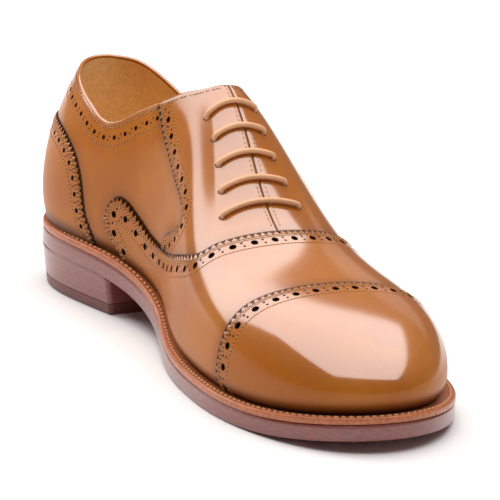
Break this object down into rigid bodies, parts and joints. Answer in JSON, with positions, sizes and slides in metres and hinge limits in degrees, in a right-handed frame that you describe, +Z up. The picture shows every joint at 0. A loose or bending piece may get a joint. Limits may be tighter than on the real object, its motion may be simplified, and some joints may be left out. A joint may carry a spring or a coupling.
{
  "type": "brogue shoe",
  "caption": "Left lace-up brogue shoe in tan calf, with a perforated straight toe cap, closed lacing, welted leather sole and stacked heel.",
  "frame": {"origin": "bottom centre of the shoe's bounding box, on the floor that the sole and heel stand on", "axes": "+X to the outer side of the foot, +Y from the toe to the heel, +Z up"},
  "size_m": [0.109, 0.3022, 0.1142],
  "materials": {
    "calf": "polished tan calf, honey brown, glossy",
    "lining": "napped olive-tan lining leather",
    "welt_leather": "waxed orange-tan welt with light stitches",
    "sole_leather": "burnished reddish brown edge",
    "heel_rubber": "matt dark rubber",
    "lace_cotton": "round waxed cotton, light tan"
  },
  "bodies": {
    "root": {"upper": "calf", "toe_cap": "calf", "vamp": "calf", "facing_medial": "calf", "facing_lateral": "calf", "counter": "calf", "back_strip": "calf", "tongue": "calf", "insole": "lining", "welt": "welt_leather", "outsole": "sole_leather", "heel_stack": "sole_leather", "top_piece": "heel_rubber", "lace": "lace_cotton"}
  },
  "joints": []
}
